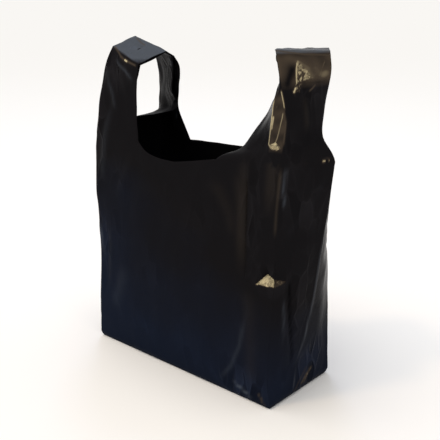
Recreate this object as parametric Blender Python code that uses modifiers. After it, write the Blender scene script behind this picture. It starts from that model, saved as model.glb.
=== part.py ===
# Plastic carrier bag with side gussets and two loop handles, standing open on its squared base.
# One piece of blown black film: a gusseted tube, sealed across the bottom and at the handle tops,
# with the mouth punched out between the handles.
#
# Metres, +Z up. The front panel looks to -Y and the base stands on Z = 0, with the origin at its middle.

import bpy
import bmesh
from math import cos, pi, radians, sin
from mathutils import Vector

# Bag
FRONT_WIDTH = 0.280
BASE_DEPTH = 0.112
MOUTH_HEIGHT = 0.257
SHOULDER_HEIGHT = 0.272
HANDLE_HEIGHT = 0.382
FILM = 0.0006

# Folds of the tube, as flat widths of film
GUSSET_PLY = 0.070
SHOULDER_PLY = 0.080
HANDLE_PLY = 0.058
PLY_GAP = 0.0022
FOLD_RADIUS = 0.002

# Forms that the filled bag keeps
GUSSET_PROUD = 0.033
GUSSET_START = 0.040
GUSSET_EASE = 0.9
GUSSET_SKEW = 0.012
SKEW_TOP = 0.060
GUSSET_BULGE = 0.004
GUSSET_BULGE_FULL = 0.136
PANEL_BULGE = 0.007
PANEL_BULGE_FULL = 0.109
BULGE_FLATNESS = 0.7
SHOULDER_LEAN = 0.003
BASE_EDGE = 0.0025
SEAL_FIN = 0.008
SEAL_GROOVE = 0.003
SEAL_LIFT = 0.0010
PLEAT_DEPTH = 0.0035
PLEAT_HEIGHT = 0.200
PLEAT_REACH = 0.062
PLEAT_FADE = 0.041
LAP_DEPTH = 0.0016
LAP_FADE = 0.020
LAP_LIP = 0.0012
DENT_DEPTH = 0.006
DENT_HEIGHT = 0.151
DENT_RISE = 0.009
DENT_REACH = 0.022
DENT_WAY = (-0.6, 0.8, 0.0)
CURL_WAY = (-0.012, -0.024, 0.0)
CURL_FALL = 0.085
BACK_LEFT_DROP = 0.016
FRONT_RIGHT_DROP = 0.0035

# Shape of the mouth's edge: round in its corners, or one long slope up to the front right handle
MOUTH_ROUND = 4.0
MOUTH_SLOPE = 1.1

# Mesh of the film: flat distances from the outer fold to each column, and shares of the wall's height
PANEL_COLUMNS = [0.0, FOLD_RADIUS, 0.009, 0.016, 0.0285, 0.031, 0.042, 0.054, 0.067, SHOULDER_PLY]
CORNER_STRIP = PANEL_COLUMNS[3]
PLEAT_LIP = PANEL_COLUMNS[4]
PLEAT_EDGE = PANEL_COLUMNS[5]
GUSSET_COLUMNS = [0.0, FOLD_RADIUS, 0.013, 0.025, 0.028, 0.042, 0.056, GUSSET_PLY]
LAP_COLUMN = GUSSET_COLUMNS[3]
LAP_LIP_COLUMN = GUSSET_COLUMNS[4]
MOUTH_SEGMENTS = 8
WALL_ROWS = [0.0, 0.012, 0.05, 0.10, 0.17, 0.24, 0.31, 0.38, 0.45, 0.50, 0.522, 0.555, 0.588,
             0.61, 0.66, 0.72, 0.78, 0.84, 0.90, 0.95, 1.0]
ROWS_PER_STATION = 2
LEAD_IN = 0.030

# Inset of each outer fold from the bag's side: (share of the shoulder height, inset). The side lap is a
# crease down the right gusset, given by its flat distance from the front fold.
FRONT_RIGHT_FOLD = [(0.0, 0.0), (0.11, 0.005), (0.22, 0.005), (0.42, 0.001), (0.55, -0.002),
                    (0.80, -0.001), (1.0, -0.003)]
BACK_RIGHT_FOLD = [(0.0, 0.0), (0.30, 0.004), (0.50, 0.006), (0.62, 0.010), (0.80, 0.016), (1.0, 0.024)]
FRONT_LEFT_FOLD = [(0.0, 0.0), (0.45, 0.008), (0.58, 0.006), (0.73, 0.004), (0.92, 0.006), (1.0, 0.008)]
BACK_LEFT_FOLD = [(0.0, 0.0), (0.45, 0.006), (0.73, 0.005), (1.0, 0.009)]
SIDE_LAP = [(0.11, 0.056), (0.23, 0.043), (0.37, 0.0295), (0.57, 0.019), (0.68, 0.017)]

# Stations along each handle, from the front shoulder over the top to the back shoulder:
# inset of the outer fold from the bag's side, its depth (-1 front face, 1 back face) and
# its rise (0 shoulder, 1 handle top); heading and dip of the panel ply, and extra turn of its
# first corner strip; heading and dip of the gusset ply; how far each ply has narrowed from its
# shoulder width to the handle width; and whether the film is creased across
LEFT_HANDLE = [
    (0.009, -0.89, 0.200, -4, 0, 0, 110, 0, 0.30, 1.4, False),
    (0.010, -0.85, 0.364, -4, 0, 0, -1, 0, 0.40, 0.4, False),
    (0.013, -0.80, 0.555, -5, 1, 0, -2, 1, 0.55, 0.6, False),
    (0.018, -0.77, 0.736, -6, 5, 0, -4, 5, 0.75, 0.8, False),
    (0.028, -0.71, 0.918, -11, 17, 0, -9, 17, 1.00, 1.0, True),
    (0.029, -0.12, 1.000, -3, 14, 0, -3, 14, 1.00, 1.0, True),
    (0.030, 0.37, 0.891, -18, 8, 0, -19, 8, 1.00, 1.0, True),
    (0.026, 0.62, 0.673, -20, -2, 0, -25, -2, 1.00, 1.0, False),
    (0.018, 0.79, 0.418, -22, -3, 0, -28, -3, 0.95, 1.0, False),
    (0.012, 0.88, 0.200, -22, 0, 0, -27, 0, 0.90, 1.0, False),
]
RIGHT_HANDLE = [
    (-0.004, -0.89, 0.200, 160, 12, 42, 82, 0, 0.50, 1.1, False),
    (-0.005, -0.86, 0.418, 137, 8, 68, 87, 0, 0.75, 0.8, False),
    (0.004, -0.79, 0.673, 122, 10, 20, 74, 0, 0.90, 0.9, False),
    (0.009, -0.77, 0.836, 82, 4, 0, 61, 1, 1.00, 1.1, False),
    (0.014, -0.75, 1.000, 57, 5, 0, 54, 3, 1.00, 1.2, True),
    (0.041, -0.10, 0.965, 56, 0, 0, 55, 0, 1.00, 1.0, True),
    (0.047, 0.09, 0.830, 64, 2, 0, 67, 2, 1.00, 1.0, False),
    (0.036, 0.43, 0.664, 98, 2, 0, 103, 2, 1.00, 1.0, False),
    (0.026, 0.62, 0.455, 138, 0, 0, 150, 0, 1.00, 1.0, False),
    (0.023, 0.80, 0.255, 165, 0, 0, 178, 0, 1.00, 1.2, False),
]


def clear_scene():
    for item in list(bpy.data.objects):
        bpy.data.objects.remove(item, do_unlink=True)


def along(pairs, share):
    """Read a value between the listed pairs, eased so that it has no corners."""
    for (s0, v0), (s1, v1) in zip(pairs, pairs[1:]):
        if share <= s1:
            f = (share - s0) / (s1 - s0)
            f = f * f * (3 - 2 * f)
            return v0 + (v1 - v0) * f
    return pairs[-1][1]


def outer_fold(side, face, z):
    """Place of one of the four outer folds at a height: side -1 left, 1 right; face -1 front, 1 back."""
    folds = {(1, -1): FRONT_RIGHT_FOLD, (1, 1): BACK_RIGHT_FOLD,
             (-1, -1): FRONT_LEFT_FOLD, (-1, 1): BACK_LEFT_FOLD}
    share = z / SHOULDER_HEIGHT
    inset = along(folds[(side, face)], share)
    edge = BASE_EDGE * max(0.0, 1 - z / (2 * BASE_EDGE))
    x = side * (FRONT_WIDTH / 2 - inset - edge)
    y = face * (BASE_DEPTH / 2 - edge - SHOULDER_LEAN * share ** 3)
    return Vector((x, y, z))


def gusset_ridge(side, z):
    """Place of the gusset's centre crease, which the filled bag pushes outwards."""
    rise = max(0.0, z - GUSSET_START) / (SHOULDER_HEIGHT - GUSSET_START)
    edge = BASE_EDGE * max(0.0, 1 - z / (2 * BASE_EDGE))
    x = side * (FRONT_WIDTH / 2 - edge + GUSSET_PROUD * rise ** GUSSET_EASE)
    y = -GUSSET_SKEW * max(0.0, 1 - z / SKEW_TOP)
    return Vector((x, y, z))


def panel_point(face, x_flat, z):
    """A point of the front or back panel, by its flat distance from the panel's middle."""
    left = outer_fold(-1, face, z)
    right = outer_fold(1, face, z)
    share = (x_flat + FRONT_WIDTH / 2) / FRONT_WIDTH
    point = left.lerp(right, share)
    bulge = PANEL_BULGE * sin(pi * share) ** BULGE_FLATNESS * min(1.0, z / PANEL_BULGE_FULL)
    point.y += face * bulge
    if face < 0:
        point.y += pleat(x_flat, z)
    else:
        point += Vector(CURL_WAY) * curl(x_flat, z)
    return point


def eased(share):
    share = min(1.0, max(0.0, share))
    return share * share * (3 - 2 * share)


def pleat(x_flat, z):
    """Depth of the soft pleat down the front panel beside the right handle."""
    from_fold = FRONT_WIDTH / 2 - x_flat
    if from_fold <= PLEAT_LIP or from_fold > SHOULDER_PLY:
        return 0.0
    reach = eased((PLEAT_REACH - abs(z - PLEAT_HEIGHT)) / PLEAT_FADE)
    return PLEAT_DEPTH * reach * (SHOULDER_PLY - from_fold) / (SHOULDER_PLY - PLEAT_EDGE)


def curl(x_flat, z):
    """How far the back panel curls in beside the left handle, from 0 to 1 at the mouth."""
    from_fold = FRONT_WIDTH / 2 + x_flat
    across = eased(from_fold / SHOULDER_PLY)
    if from_fold > SHOULDER_PLY:
        across = eased((FRONT_WIDTH - from_fold) / (FRONT_WIDTH - SHOULDER_PLY))
    return across * max(0.0, 1 - (SHOULDER_HEIGHT - z) / CURL_FALL) ** 2


def shoulder_top(side, face, flat):
    """Height where a strap starts; at two of its corners the mouth is cut lower beside it."""
    drops = {(-1, 1): BACK_LEFT_DROP, (1, -1): FRONT_RIGHT_DROP}
    return SHOULDER_HEIGHT - drops.get((side, face), 0.0) * eased(2 * flat / SHOULDER_PLY - 1)


def lap_shift(flat, z):
    """Moves the right gusset's columns so that one follows the side lap, and says how deep it is there."""
    lap = along(SIDE_LAP, max(z / SHOULDER_HEIGHT, SIDE_LAP[0][0]))
    lip = lap + LAP_LIP
    ends = min(z - SIDE_LAP[0][0] * SHOULDER_HEIGHT, SIDE_LAP[-1][0] * SHOULDER_HEIGHT - z)
    depth = LAP_DEPTH * eased(ends / LAP_FADE)
    if flat <= LAP_COLUMN:
        return flat * lap / LAP_COLUMN, depth * (flat / LAP_COLUMN) ** 2
    if flat < LAP_LIP_COLUMN:
        return lip, 0.0
    return lip + (flat - LAP_LIP_COLUMN) * (GUSSET_PLY - lip) / (GUSSET_PLY - LAP_LIP_COLUMN), 0.0


def gusset_point(side, face, flat, z):
    """A point of a gusset half, by its flat distance from the outer fold."""
    lap = 0.0
    if side > 0 and face < 0 and flat > FOLD_RADIUS:
        flat, lap = lap_shift(flat, z)
    share = flat / GUSSET_PLY
    fold = outer_fold(side, face, z)
    ridge = gusset_ridge(side, z)
    point = fold.lerp(ridge, share)
    point.x += side * (GUSSET_BULGE * sin(pi * share) * min(1.0, z / GUSSET_BULGE_FULL) - lap)
    return point


def mouth_edge(face, x_flat):
    """Height of the punched mouth at a flat distance from the panel's middle."""
    half = FRONT_WIDTH / 2 - SHOULDER_PLY
    power = MOUTH_ROUND if x_flat < 0 or face > 0 else MOUTH_SLOPE
    corner = shoulder_top(1 if x_flat > 0 else -1, face, SHOULDER_PLY)
    return MOUTH_HEIGHT + (corner - MOUTH_HEIGHT) * min(1.0, abs(x_flat) / half) ** power


def wall_columns():
    """The columns once round the tube, from the left ridge past the front: (kind, values, top height)."""
    columns = []
    half = FRONT_WIDTH / 2
    inner = half - SHOULDER_PLY
    for face in (-1, 1):
        first = face
        for flat in reversed(GUSSET_COLUMNS):
            columns.append(("gusset", (first, face, flat), SHOULDER_HEIGHT))
        for flat in PANEL_COLUMNS[1:]:
            columns.append(("panel", (face, first * (half - flat)), shoulder_top(first, face, flat)))
        for step in range(1, MOUTH_SEGMENTS):
            x_flat = first * inner * (1 - 2 * step / MOUTH_SEGMENTS)
            columns.append(("panel", (face, x_flat), mouth_edge(face, x_flat)))
        for flat in reversed(PANEL_COLUMNS[1:]):
            columns.append(("panel", (face, first * (flat - half)), shoulder_top(-first, face, flat)))
        for flat in GUSSET_COLUMNS[:-1]:
            columns.append(("gusset", (-first, face, flat), SHOULDER_HEIGHT))
    columns.append(columns[0])
    return columns


def wall_point(column, share):
    kind, values, top = column
    z = share * top
    if kind == "panel":
        return panel_point(*values, z)
    return gusset_point(*values, z)


def dent_in_fold(point):
    """The small buckle in the front right fold, a flat diamond pushed into it."""
    offset = point - outer_fold(1, -1, DENT_HEIGHT)
    share = 1 - abs(offset.z) / DENT_RISE - abs(offset.xy.length) / DENT_REACH
    if share > 0:
        point += Vector(DENT_WAY) * DENT_DEPTH * share
    return point


def grid_of(columns, rows, place):
    """A mesh grid whose every corner is put in its place by its column and row."""
    mesh = bmesh.new()
    bmesh.ops.create_grid(mesh, x_segments=columns, y_segments=rows, size=1.0)
    for vert in mesh.verts:
        i = round((vert.co.x + 1) / 2 * columns)
        j = round((vert.co.y + 1) / 2 * rows)
        vert.co = place(i, j)
    return mesh


def bag_wall():
    columns = wall_columns()

    def place(i, j):
        return dent_in_fold(wall_point(columns[i], WALL_ROWS[j]))

    return grid_of(len(columns) - 1, len(WALL_ROWS) - 1, place)


def shoulder_row(side, face, below):
    """The strap's columns at or below the shoulder: panel ply from its cut edge in, then gusset ply."""
    half = FRONT_WIDTH / 2
    row = []
    for flat in reversed(PANEL_COLUMNS):
        row.append(panel_point(face, side * (half - flat), shoulder_top(side, face, flat) - below))
    for flat in GUSSET_COLUMNS[1:]:
        row.append(gusset_point(side, face, flat, SHOULDER_HEIGHT - below))
    return row


def heading(angle, dip):
    flat = cos(radians(dip))
    return Vector((flat * cos(radians(angle)), flat * sin(radians(angle)), -sin(radians(dip))))


def station_fold(side, station):
    inset, depth, rise = station[:3]
    return Vector((side * (FRONT_WIDTH / 2 - inset), depth * BASE_DEPTH / 2,
                   SHOULDER_HEIGHT + rise * (HANDLE_HEIGHT - SHOULDER_HEIGHT)))


def ply_points(fold, columns, across, corner, out, narrow):
    """One ply of a strap, from its outer fold: the corner strip first, then the rest of its width."""
    strip = CORNER_STRIP * narrow
    points = []
    for flat in columns:
        offset = PLY_GAP / 2 * min(1.0, flat / FOLD_RADIUS)
        reach = flat if flat <= FOLD_RADIUS else flat * narrow
        point = fold + corner * min(reach, strip) + across * max(0.0, reach - strip)
        points.append(point + out * offset)
    return points


def station_row(side, station, run):
    """The strap's columns at one station; run is the strap's own direction there."""
    panel_angle, panel_dip, corner_turn, gusset_angle, gusset_dip, panel_taper, gusset_taper = station[3:10]
    fold = station_fold(side, station)
    across = heading(panel_angle, panel_dip)
    corner = heading(panel_angle + corner_turn, panel_dip)
    out = across.cross(run).normalized() * -side
    narrow = 1 + (HANDLE_PLY / SHOULDER_PLY - 1) * panel_taper
    row = ply_points(fold, PANEL_COLUMNS, across, corner, out, narrow)
    row.reverse()
    across = heading(gusset_angle, gusset_dip)
    out = across.cross(run).normalized() * side
    narrow = 1 + (HANDLE_PLY / GUSSET_PLY - 1) * gusset_taper
    row += ply_points(fold, GUSSET_COLUMNS, across, across, out, narrow)[1:]
    return row


def handle_rows(side, stations):
    folds = [outer_fold(side, -1, SHOULDER_HEIGHT)]
    folds += [station_fold(side, station) for station in stations]
    folds.append(outer_fold(side, 1, SHOULDER_HEIGHT))
    rows = [shoulder_row(side, -1, 0.0)]
    for k, station in enumerate(stations, start=1):
        before = (folds[k] - folds[k - 1]).normalized()
        after = (folds[k + 1] - folds[k]).normalized()
        rows.append(station_row(side, station, (before + after).normalized()))
    rows.append(shoulder_row(side, 1, 0.0))
    return rows


def smooth_between(p0, p1, p2, p3, f):
    """A point on the smooth curve through p1 and p2."""
    return 0.5 * (2 * p1 + (p2 - p0) * f + (2 * p0 - 5 * p1 + 4 * p2 - p3) * f * f
                  + (3 * p1 - p0 - 3 * p2 + p3) * f ** 3)


def handle_strap(side, stations):
    rows = handle_rows(side, stations)
    lead_in = shoulder_row(side, -1, LEAD_IN)
    lead_out = shoulder_row(side, 1, LEAD_IN)
    creased = [False] + [station[-1] for station in stations] + [False]

    def place(i, j):
        k = min(j // ROWS_PER_STATION, len(rows) - 2)
        f = (j - k * ROWS_PER_STATION) / ROWS_PER_STATION
        p1 = rows[k][i]
        p2 = rows[k + 1][i]
        p0 = rows[k - 1][i] if k else lead_in[i]
        p3 = rows[k + 2][i] if k + 2 < len(rows) else lead_out[i]
        if creased[k]:
            p0 = 2 * p1 - p2
        if creased[k + 1]:
            p3 = 2 * p2 - p1
        return smooth_between(p0, p1, p2, p3, f)

    return grid_of(len(rows[0]) - 1, (len(rows) - 1) * ROWS_PER_STATION, place)


def join_meshes(pieces):
    joined = bmesh.new()
    for piece in pieces:
        mesh = bpy.data.meshes.new("piece")
        piece.to_mesh(mesh)
        piece.free()
        joined.from_mesh(mesh)
        bpy.data.meshes.remove(mesh)
    bmesh.ops.remove_doubles(joined, verts=joined.verts, dist=0.00005)
    return joined


def close_base(film):
    """Fill the base and mark the edge of the bottom seal's fin, which lies folded against it."""
    ring = [edge for edge in film.edges if edge.is_boundary and max(v.co.z for v in edge.verts) < 1e-6]
    base = bmesh.ops.contextual_create(film, geom=ring)["faces"]
    for y in (SEAL_FIN - SEAL_GROOVE / 2, SEAL_FIN + SEAL_GROOVE / 2, SEAL_FIN):
        verts = {vert for face in base for vert in face.verts}
        edges = {edge for face in base for edge in face.edges}
        cut = bmesh.ops.bisect_plane(film, geom=list(verts) + list(edges) + list(base),
                                     plane_co=(0, y, 0), plane_no=(0, 1, 0), dist=1e-6)
        base = [face for face in cut["geom"] if isinstance(face, bmesh.types.BMFace)]
    for vert in {vert for face in base for vert in face.verts}:
        if abs(vert.co.y - SEAL_FIN) < 1e-6:
            vert.co.z = SEAL_LIFT


def film_material():
    material = bpy.data.materials.new("black_ldpe_film")
    material.use_nodes = True
    shader = material.node_tree.nodes["Principled BSDF"]
    shader.inputs["Base Color"].default_value = (0.008, 0.008, 0.010, 1.0)
    shader.inputs["Roughness"].default_value = 0.28
    shader.inputs["Metallic"].default_value = 0.0
    return material


def build_bag():
    clear_scene()
    collection = bpy.data.collections.new("plastic_carrier_bag")
    bpy.context.scene.collection.children.link(collection)
    film = join_meshes([bag_wall(), handle_strap(-1, LEFT_HANDLE), handle_strap(1, RIGHT_HANDLE)])
    close_base(film)
    bmesh.ops.recalc_face_normals(film, faces=film.faces)
    bmesh.ops.translate(film, verts=film.verts, vec=(0, 0, FILM / 2))
    mesh = bpy.data.meshes.new("carrier_bag")
    film.to_mesh(mesh)
    film.free()
    mesh.materials.append(film_material())
    bag = bpy.data.objects.new("carrier_bag", mesh)
    collection.objects.link(bag)
    wall = bag.modifiers.new("film", "SOLIDIFY")
    wall.thickness = FILM
    wall.offset = 0.0
    wall.use_even_offset = True
    return bag


build_bag()
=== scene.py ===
from math import cos, pi, radians, sin

import bmesh
import bpy
import numpy as np
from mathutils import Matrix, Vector, noise


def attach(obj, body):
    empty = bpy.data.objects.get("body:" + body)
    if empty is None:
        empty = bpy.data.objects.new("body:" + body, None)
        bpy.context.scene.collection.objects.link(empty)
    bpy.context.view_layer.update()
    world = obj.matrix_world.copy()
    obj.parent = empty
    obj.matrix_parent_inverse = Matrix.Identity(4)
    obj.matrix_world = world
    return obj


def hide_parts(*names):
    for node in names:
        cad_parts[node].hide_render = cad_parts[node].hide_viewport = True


# A black vest carrier bag of blown film, standing open and empty on its squared base.
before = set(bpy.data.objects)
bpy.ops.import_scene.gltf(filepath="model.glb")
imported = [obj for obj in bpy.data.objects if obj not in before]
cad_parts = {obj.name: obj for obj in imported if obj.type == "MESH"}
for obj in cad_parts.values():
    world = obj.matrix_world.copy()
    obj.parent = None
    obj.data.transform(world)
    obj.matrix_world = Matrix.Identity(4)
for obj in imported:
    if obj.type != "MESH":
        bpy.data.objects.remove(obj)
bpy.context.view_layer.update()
print("frame loaded")


def linear(hexColour):
    parts = [int(hexColour[i:i + 2], 16) / 255 for i in (1, 3, 5)]
    parts = [p / 12.92 if p <= 0.04045 else ((p + 0.055) / 1.055) ** 2.4 for p in parts]
    return (*parts, 1.0)


def addNode(tree, kind, settings=None, links=None):
    node = tree.nodes.new(kind)
    for name, value in (settings or {}).items():
        if isinstance(name, int) or name in node.inputs:
            node.inputs[name].default_value = value
        else:
            setattr(node, name, value)
    for socket, source in (links or {}).items():
        tree.links.new(source, node.inputs[socket])
    return node


# The camera stands where the photograph was taken from
cameraSettings = {"place": (0.5697, -0.6292, 0.4442), "pitchDown": 17.6, "turn": 41.2, "lens": 61.36,
                  "sensor": 36, "farthest": 60}
cameraData = bpy.data.cameras.new("camera")
cameraData.sensor_width = cameraSettings["sensor"]
cameraData.lens = cameraSettings["lens"]
cameraData.clip_end = cameraSettings["farthest"]
camera = bpy.data.objects.new("camera", cameraData)
camera.location = cameraSettings["place"]
camera.rotation_euler = (radians(90 - cameraSettings["pitchDown"]), 0, radians(cameraSettings["turn"]))
bpy.context.scene.collection.objects.link(camera)
bpy.context.scene.camera = camera
bpy.context.scene.view_settings.view_transform = "Standard"

# The bag's form, in metres. Flat widths are measured on the film from an outer fold.
bagForm = {
    "frontWidth": 0.280, "baseDepth": 0.112, "mouthHeight": 0.257, "shoulder": 0.272, "handleTop": 0.382,
    "gussetPly": 0.070, "shoulderPly": 0.080, "handlePly": 0.058, "plyGap": 0.0022, "foldRadius": 0.002,
    "cornerStrip": 0.016,
    "gussetProud": 0.033, "gussetStart": 0.040, "gussetSkew": 0.012, "gussetBulge": 0.004,
    "proudPower": 0.9, "skewFall": 1.5, "panelBulge": 0.007, "panelRound": 0.7, "panelRise": 0.109,
    "shoulderLean": 0.003, "baseEdge": 0.0025, "baseInset": 0.002,
    "mouthRound": 4.0, "mouthSlope": 1.1, "film": 0.0003, "solidFilm": 0.0006,
    # the mouth is cut lower beside two of the straps, and the back panel curls in beside the left one
    "corners": {(-1, 1): 0.256, (1, -1): 0.2685}, "curlWay": (-0.012, -0.024, 0.0), "curlFall": 0.085,
    # insets of the four outer folds from the bag's side, by share of the shoulder height
    "folds": {
        (1, -1): [(0.0, 0.0), (0.11, 0.005), (0.22, 0.005), (0.42, 0.001), (0.55, -0.002), (0.80, -0.001),
                  (1.0, -0.003)],
        (1, 1): [(0.0, 0.0), (0.30, 0.004), (0.50, 0.006), (0.62, 0.010), (0.80, 0.016), (1.0, 0.024)],
        (-1, -1): [(0.0, 0.0), (0.45, 0.008), (0.58, 0.006), (0.73, 0.004), (0.92, 0.006), (1.0, 0.008)],
        (-1, 1): [(0.0, 0.0), (0.45, 0.006), (0.73, 0.005), (1.0, 0.009)],
    },
    # how far apart the film's columns are, by side, and its rows, closer together beside an outer fold and
    # at the base; the last is how near two points are to be one
    "panelStep": {1: 0.0031, -1: 0.0038}, "gussetStep": {1: 0.0032, -1: 0.0042},
    "foldSteps": [0.0, 0.0006, 0.0012, 0.002, 0.0032, 0.0048], "mouthSteps": 32, "rowStep": 0.0036,
    "lowRows": [0.0, 0.0025, 0.006, 0.010], "leadIn": 0.030, "together": 0.00005,
}

# Where each strap's outer fold goes, from the front shoulder over the top to the back: inset, depth, rise;
# panel ply's heading, dip and corner turn; gusset ply's heading and dip; narrowing of each; creased across
handleForm = {
    -1: [
        (0.009, -0.89, 0.200, -4, 0, 0, 110, 0, 0.30, 1.4, False),
        (0.010, -0.85, 0.364, -4, 0, 0, -1, 0, 0.40, 1.0, False),
        (0.013, -0.80, 0.555, -5, 1, 0, -2, 1, 0.55, 1.0, False),
        (0.018, -0.77, 0.736, -6, 5, 0, -4, 5, 0.75, 0.8, False),
        (0.028, -0.71, 0.918, -11, 17, 0, -9, 17, 1.00, 1.0, True),
        (0.029, -0.12, 1.000, -3, 14, 0, -3, 14, 1.00, 1.0, True),
        (0.030, 0.37, 0.891, -18, 8, 0, -19, 8, 1.00, 1.0, True),
        (0.026, 0.62, 0.673, -20, -2, 0, -25, -2, 1.00, 1.0, False),
        (0.018, 0.79, 0.418, -22, -3, 0, -28, -3, 0.95, 1.0, False),
        (0.012, 0.88, 0.200, -22, 0, 0, -27, 0, 0.90, 1.0, False),
    ],
    1: [
        (-0.004, -0.89, 0.200, 160, 12, 42, 82, 0, 0.50, 1.1, False),
        (-0.005, -0.86, 0.418, 137, 8, 68, 87, 0, 0.75, 0.8, False),
        (0.004, -0.79, 0.673, 122, 10, 20, 74, 0, 0.90, 0.9, False),
        (0.009, -0.77, 0.836, 82, 4, 0, 61, 1, 1.00, 1.1, False),
        (0.014, -0.75, 1.000, 57, 5, 0, 54, 3, 1.00, 1.2, True),
        (0.041, -0.10, 0.965, 56, 0, 0, 55, 0, 1.00, 1.0, True),
        (0.047, 0.09, 0.830, 64, 2, 0, 67, 2, 1.00, 1.0, False),
        (0.036, 0.43, 0.664, 98, 2, 0, 103, 2, 1.00, 1.0, False),
        (0.026, 0.62, 0.455, 138, 0, 0, 150, 0, 1.00, 1.0, False),
        (0.023, 0.80, 0.255, 165, 0, 0, 178, 0, 1.00, 1.2, False),
    ],
}


def along(pairs, share):
    for (s0, v0), (s1, v1) in zip(pairs, pairs[1:]):
        if share <= s1:
            f = (share - s0) / (s1 - s0)
            f = f * f * (3 - 2 * f)
            return v0 + (v1 - v0) * f
    return pairs[-1][1]


def outerFold(side, face, z):
    share = z / bagForm["shoulder"]
    inset = along(bagForm["folds"][(side, face)], share)
    edge = bagForm["baseEdge"] * max(0.0, 1 - z / (2 * bagForm["baseEdge"]))
    x = side * (bagForm["frontWidth"] / 2 - inset - edge)
    y = face * (bagForm["baseDepth"] / 2 - edge - bagForm["shoulderLean"] * share ** 3)
    return Vector((x, y, z))


def gussetRidge(side, z):
    start = bagForm["gussetStart"]
    rise = max(0.0, z - start) / (bagForm["shoulder"] - start)
    edge = bagForm["baseEdge"] * max(0.0, 1 - z / (2 * bagForm["baseEdge"]))
    x = side * (bagForm["frontWidth"] / 2 - edge + bagForm["gussetProud"] * rise ** bagForm["proudPower"])
    y = -bagForm["gussetSkew"] * max(0.0, 1 - z / (bagForm["skewFall"] * start))
    return Vector((x, y, z))


def panelPoint(face, xFlat, z):
    share = (xFlat + bagForm["frontWidth"] / 2) / bagForm["frontWidth"]
    point = outerFold(-1, face, z).lerp(outerFold(1, face, z), share)
    swell = sin(pi * share) ** bagForm["panelRound"] * min(1.0, z / bagForm["panelRise"])
    point.y += face * bagForm["panelBulge"] * swell
    if face > 0:
        point += Vector(bagForm["curlWay"]) * curl(xFlat, z)
    return point


def eased(share):
    share = min(1.0, max(0.0, share))
    return share * share * (3 - 2 * share)


def curl(xFlat, z):
    width, ply = bagForm["frontWidth"], bagForm["shoulderPly"]
    fromFold = width / 2 + xFlat
    across = eased(fromFold / ply) if fromFold <= ply else eased((width - fromFold) / (width - ply))
    return across * max(0.0, 1 - (bagForm["shoulder"] - z) / bagForm["curlFall"]) ** 2


def shoulderTop(side, face, flat):
    drop = bagForm["shoulder"] - bagForm["corners"].get((side, face), bagForm["shoulder"])
    return bagForm["shoulder"] - drop * eased(2 * flat / bagForm["shoulderPly"] - 1)


def gussetPoint(side, face, flat, z):
    share = flat / bagForm["gussetPly"]
    point = outerFold(side, face, z).lerp(gussetRidge(side, z), share)
    point.x += side * bagForm["gussetBulge"] * sin(pi * share) * min(1.0, 2 * z / bagForm["shoulder"])
    return point


def mouthEdge(face, xFlat):
    half = bagForm["frontWidth"] / 2 - bagForm["shoulderPly"]
    power = bagForm["mouthRound"] if xFlat < 0 or face > 0 else bagForm["mouthSlope"]
    rise = shoulderTop(1 if xFlat > 0 else -1, face, bagForm["shoulderPly"]) - bagForm["mouthHeight"]
    return bagForm["mouthHeight"] + rise * min(1.0, abs(xFlat) / half) ** power


def flatSteps(width, step):
    steps = list(bagForm["foldSteps"])
    for end in (bagForm["cornerStrip"], width):
        start = steps[-1]
        count = round((end - start) / step)
        steps += [start + (end - start) * k / count for k in range(1, count + 1)]
    return steps


panelFlats = {side: flatSteps(bagForm["shoulderPly"], bagForm["panelStep"][side]) for side in (-1, 1)}
gussetFlats = {side: flatSteps(bagForm["gussetPly"], bagForm["gussetStep"][side]) for side in (-1, 1)}


def gridOf(columns, rows, place, marks, flats):
    # a flat grid whose corners are put in place; each keeps its mark, which part of the film it is, and
    # its flat distance from the outer fold
    mesh = bmesh.new()
    bmesh.ops.create_grid(mesh, x_segments=columns, y_segments=rows, size=1.0)
    ply = mesh.verts.layers.float.new("ply")
    fromFold = mesh.verts.layers.float.new("fromFold")
    for vert in mesh.verts:
        i = round((vert.co.x + 1) / 2 * columns)
        j = round((vert.co.y + 1) / 2 * rows)
        vert.co = place(i, j)
        vert[ply] = marks[i]
        vert[fromFold] = flats[i]
    return mesh


# marks: 1 front panel, 2 back panel, 3 right gusset, 4 left gusset, 5 and 6 right strap's panel and
# gusset layers, 7 and 8 the left strap's
def wallColumns():
    columns = []
    half = bagForm["frontWidth"] / 2
    inner = half - bagForm["shoulderPly"]
    steps = bagForm["mouthSteps"]
    for face in (-1, 1):
        first = face
        panelMark = 1 if face < 0 else 2
        for flat in reversed(gussetFlats[first]):
            columns.append(("gusset", (first, face, flat), bagForm["shoulder"], 3 if first > 0 else 4))
        for flat in panelFlats[first][1:]:
            columns.append(("panel", (face, first * (half - flat)), shoulderTop(first, face, flat), panelMark))
        for step in range(1, steps):
            xFlat = first * inner * (1 - 2 * step / steps)
            columns.append(("panel", (face, xFlat), mouthEdge(face, xFlat), panelMark))
        for flat in reversed(panelFlats[-first][1:]):
            columns.append(("panel", (face, first * (flat - half)), shoulderTop(-first, face, flat), panelMark))
        for flat in gussetFlats[-first][:-1]:
            columns.append(("gusset", (-first, face, flat), bagForm["shoulder"], 3 if first < 0 else 4))
    columns.append(columns[0])
    return columns


def bagWall():
    columns = wallColumns()
    lowRows = bagForm["lowRows"]
    count = round((1 - lowRows[-1]) * bagForm["shoulder"] / bagForm["rowStep"])
    rows = lowRows + [lowRows[-1] + (1 - lowRows[-1]) * k / count for k in range(1, count + 1)]

    def place(i, j):
        kind, values, top = columns[i][:3]
        z = rows[j] * top
        return panelPoint(*values, z) if kind == "panel" else gussetPoint(*values, z)

    half = bagForm["frontWidth"] / 2
    flats = [column[1][2] if column[0] == "gusset" else half - abs(column[1][1]) for column in columns]
    return gridOf(len(columns) - 1, len(rows) - 1, place, [column[3] for column in columns], flats)


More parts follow.
